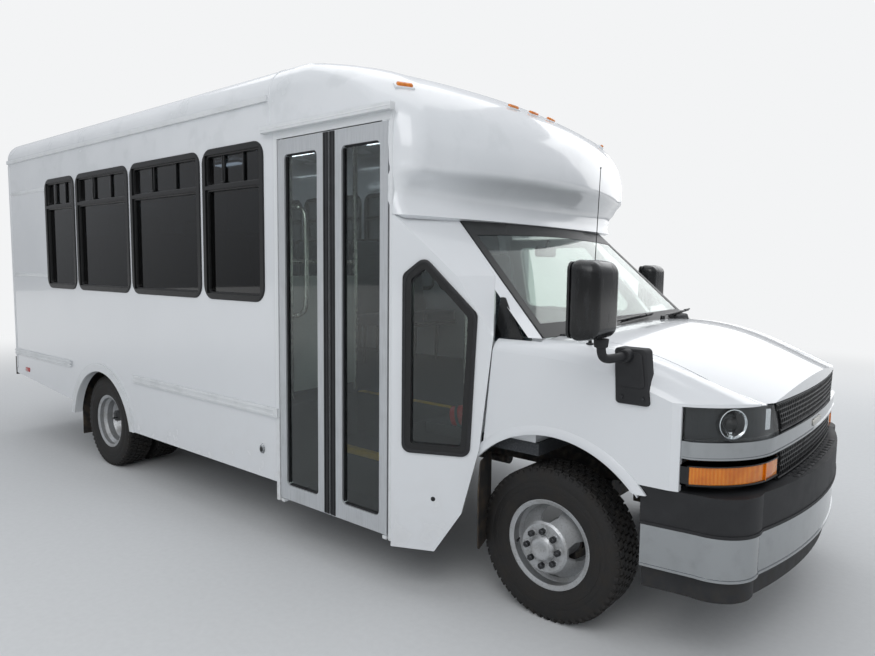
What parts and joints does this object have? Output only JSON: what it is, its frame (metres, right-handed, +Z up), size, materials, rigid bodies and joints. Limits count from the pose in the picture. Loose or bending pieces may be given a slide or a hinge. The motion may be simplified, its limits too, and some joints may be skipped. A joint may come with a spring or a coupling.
{
  "type": "minibus",
  "caption": "White cutaway minibus: bus body with side windows, double-leaf entry door and rear door on a van cab, with dual rear wheels.",
  "frame": {"origin": "on the ground under the middle of the vehicle's length and width", "axes": "+X forward, +Y to the vehicle's left, +Z up"},
  "size_m": [6.9498, 2.736, 2.85],
  "materials": {
    "white_paint": "gloss",
    "black_plastic": "satin",
    "glass": "gloss",
    "door_metal": "satin",
    "door_frame_paint": "satin",
    "floor_cover": "matt",
    "chrome": "polished",
    "lamp_clear": "gloss",
    "lamp_amber": "gloss",
    "lamp_red": "gloss",
    "chassis_black": "satin",
    "engine_grey": "rough",
    "tank_steel": "satin",
    "rim_grey": "satin",
    "tyre_black": "matt",
    "seat_cloth": "woven",
    "rail_steel": "polished",
    "moulding_white": "satin",
    "flap_rubber": "matt"
  },
  "bodies": {
    "vehicle": {"side_wall_right": "white_paint", "side_wall_left": "white_paint", "rear_wall": "white_paint", "roof": "white_paint", "front_cap": "white_paint", "front_panel": "white_paint", "cab_fairing": "white_paint", "fender_right": "white_paint", "fender_left": "white_paint", "window_frames": "black_plastic", "cab_frame": "black_plastic", "front_fascia": "black_plastic", "bumper_pad": "black_plastic", "air_dam": "black_plastic", "dashboard": "black_plastic", "mirror_right": "black_plastic", "window_glass": "glass", "windscreen": "glass", "entry_door_frame": "door_frame_paint", "floor": "floor_cover", "entry_steps": "floor_cover", "bright_bar": "chrome", "bumper_face": "chrome", "head_lamps": "lamp_clear", "amber_lamps": "lamp_amber", "tail_lamps": "lamp_red", "chassis_frame": "chassis_black", "rear_axle": "chassis_black", "front_suspension": "chassis_black", "rear_bumper": "chassis_black", "engine_block": "engine_grey", "fuel_tank": "tank_steel", "exhaust": "tank_steel", "seats": "seat_cloth", "grab_rails": "rail_steel", "body_mouldings": "moulding_white", "mud_flaps": "flap_rubber"},
    "knuckle_right": {"knuckle_right": "engine_grey"},
    "knuckle_left": {"knuckle_left": "engine_grey"},
    "wheel_front_right": {"rim_front_right": "rim_grey", "tyre_front_right": "tyre_black"},
    "wheel_front_left": {"rim_front_left": "rim_grey", "tyre_front_left": "tyre_black"},
    "wheel_rear_right": {"rim_rear_right": "rim_grey", "tyres_rear_right": "tyre_black"},
    "wheel_rear_left": {"rim_rear_left": "rim_grey", "tyres_rear_left": "tyre_black"},
    "steering_wheel": {"steering_wheel": "black_plastic"},
    "hood": {"hood": "white_paint"},
    "entry_door_rear": {"entry_door_rear": "door_metal", "entry_door_rear_glass": "glass"},
    "entry_door_front": {"entry_door_front": "door_metal", "entry_door_front_glass": "glass"},
    "driver_door": {"driver_door": "white_paint", "driver_door_glass": "glass", "mirror_left": "black_plastic"},
    "rear_door": {"rear_door": "white_paint", "rear_door_glass": "glass"}
  },
  "joints": [
    {"name": "steer_right", "type": "hinge", "parent": "vehicle", "child": "knuckle_right", "pos_m": [2.485, -0.68, 0.372], "axis": [0, 0, 1], "range_deg": [-32, 32]},
    {"name": "steer_left", "type": "hinge", "parent": "vehicle", "child": "knuckle_left", "pos_m": [2.485, 0.68, 0.372], "axis": [0, 0, 1], "range_deg": [-32, 32]},
    {"name": "steering_column", "type": "hinge", "parent": "vehicle", "child": "steering_wheel", "pos_m": [1.925, 0.48, 1.33], "axis": [-0.8829, 0, 0.4695], "range_deg": [-520, 520]},
    {"name": "spin_front_right", "type": "hinge", "parent": "knuckle_right", "child": "wheel_front_right", "pos_m": [2.485, -0.83, 0.372], "axis": [0, 1, 0], "continuous": true},
    {"name": "spin_front_left", "type": "hinge", "parent": "knuckle_left", "child": "wheel_front_left", "pos_m": [2.485, 0.83, 0.372], "axis": [0, 1, 0], "continuous": true},
    {"name": "spin_rear_right", "type": "hinge", "parent": "vehicle", "child": "wheel_rear_right", "pos_m": [-1.554, -0.919, 0.372], "axis": [0, 1, 0], "continuous": true},
    {"name": "spin_rear_left", "type": "hinge", "parent": "vehicle", "child": "wheel_rear_left", "pos_m": [-1.554, 0.919, 0.372], "axis": [0, 1, 0], "continuous": true},
    {"name": "hood_hinge", "type": "hinge", "parent": "vehicle", "child": "hood", "pos_m": [2.536, 0, 1.35], "axis": [0, -1, 0], "range_deg": [0, 55]},
    {"name": "entry_rear_pivot", "type": "hinge", "parent": "vehicle", "child": "entry_door_rear", "pos_m": [0.855, -1.205, 1.34], "axis": [0, 0, -1], "range_deg": [0, 88]},
    {"name": "entry_front_pivot", "type": "hinge", "parent": "vehicle", "child": "entry_door_front", "pos_m": [1.695, -1.205, 1.34], "axis": [0, 0, 1], "range_deg": [0, 88]},
    {"name": "driver_door_hinge", "type": "hinge", "parent": "vehicle", "child": "driver_door", "pos_m": [2.14, 0.99, 1.1], "axis": [0, 0, -1], "range_deg": [0, 67]},
    {"name": "rear_door_hinge", "type": "hinge", "parent": "vehicle", "child": "rear_door", "pos_m": [-3.395, -0.42, 1.6], "axis": [0, 0, 1], "range_deg": [0, 110]}
  ],
  "couplings": [
    {"joint": "steer_left", "follows": "steer_right", "ratio": 1},
    {"joint": "steering_column", "follows": "steer_right", "ratio": 16},
    {"joint": "entry_front_pivot", "follows": "entry_rear_pivot", "ratio": 1}
  ]
}
